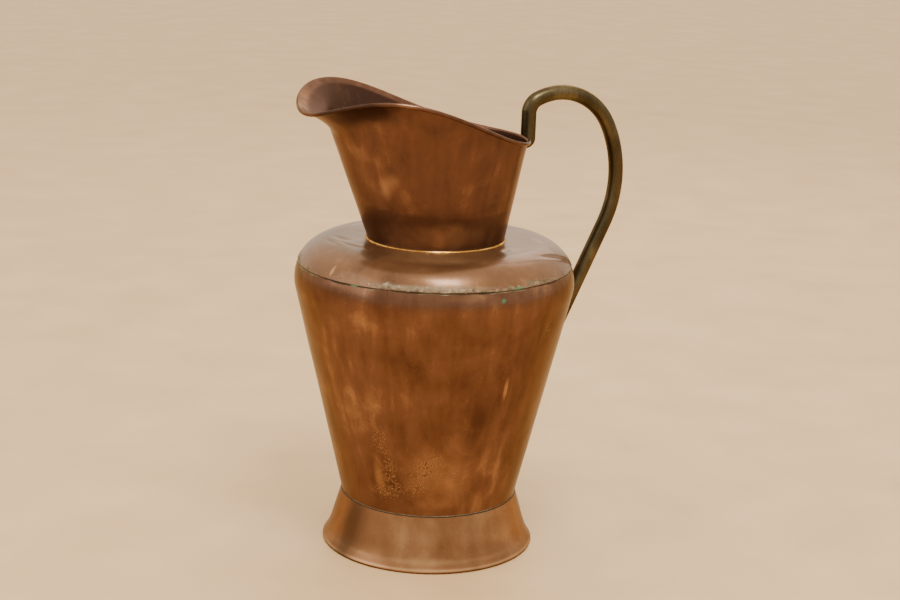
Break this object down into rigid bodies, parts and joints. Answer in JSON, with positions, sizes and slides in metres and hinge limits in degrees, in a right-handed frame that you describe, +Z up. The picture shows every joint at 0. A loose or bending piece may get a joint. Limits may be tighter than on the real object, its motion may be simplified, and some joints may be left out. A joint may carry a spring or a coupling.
{
  "type": "copper ewer",
  "caption": "Large tapering copper ewer with rounded shoulder, flared foot, funnel neck with a turned-out pouring lip, and one tall brass tube handle.",
  "frame": {"origin": "centre of the foot's flat standing ring, on the vessel's axis", "axes": "+Z up along the vessel's axis; the spout points along -X and the handle stands out along +X; +Y completes a right-handed frame"},
  "size_m": [0.4756, 0.3818, 0.6342],
  "materials": {
    "foot_copper": "copper sheet, dull, light tan-brown patina",
    "body_copper": "copper sheet, worn polish over brown patina",
    "shoulder_copper": "hammered copper sheet, brown patina, worn satin",
    "neck_copper": "copper sheet, dark reddish brown patina, satin",
    "base_copper": "copper sheet, dark dull patina",
    "handle_brass": "brass tube, olive-brown patina, satin",
    "rivet_copper": "copper rivet, worn bright on the crown",
    "grey_solder": "tin-lead solder, dull grey, green at the edges",
    "gold_braze": "brazing brass, bright where it is rubbed",
    "iron_wire": "drawn iron wire, rusty"
  },
  "bodies": {
    "root": {"foot_skirt": "foot_copper", "foot_wire": "iron_wire", "foot_seam_braze": "gold_braze", "foot_solder": "grey_solder", "base_disc": "base_copper", "base_solder": "grey_solder", "body_shell": "body_copper", "body_seam_braze": "gold_braze", "shoulder": "shoulder_copper", "shoulder_solder": "grey_solder", "neck_funnel": "neck_copper", "neck_solder": "gold_braze", "rim_wire": "iron_wire", "handle_tube": "handle_brass", "upper_rivets": "rivet_copper", "lower_rivets": "rivet_copper", "upper_burrs": "rivet_copper", "lower_burrs": "rivet_copper"}
  },
  "joints": []
}
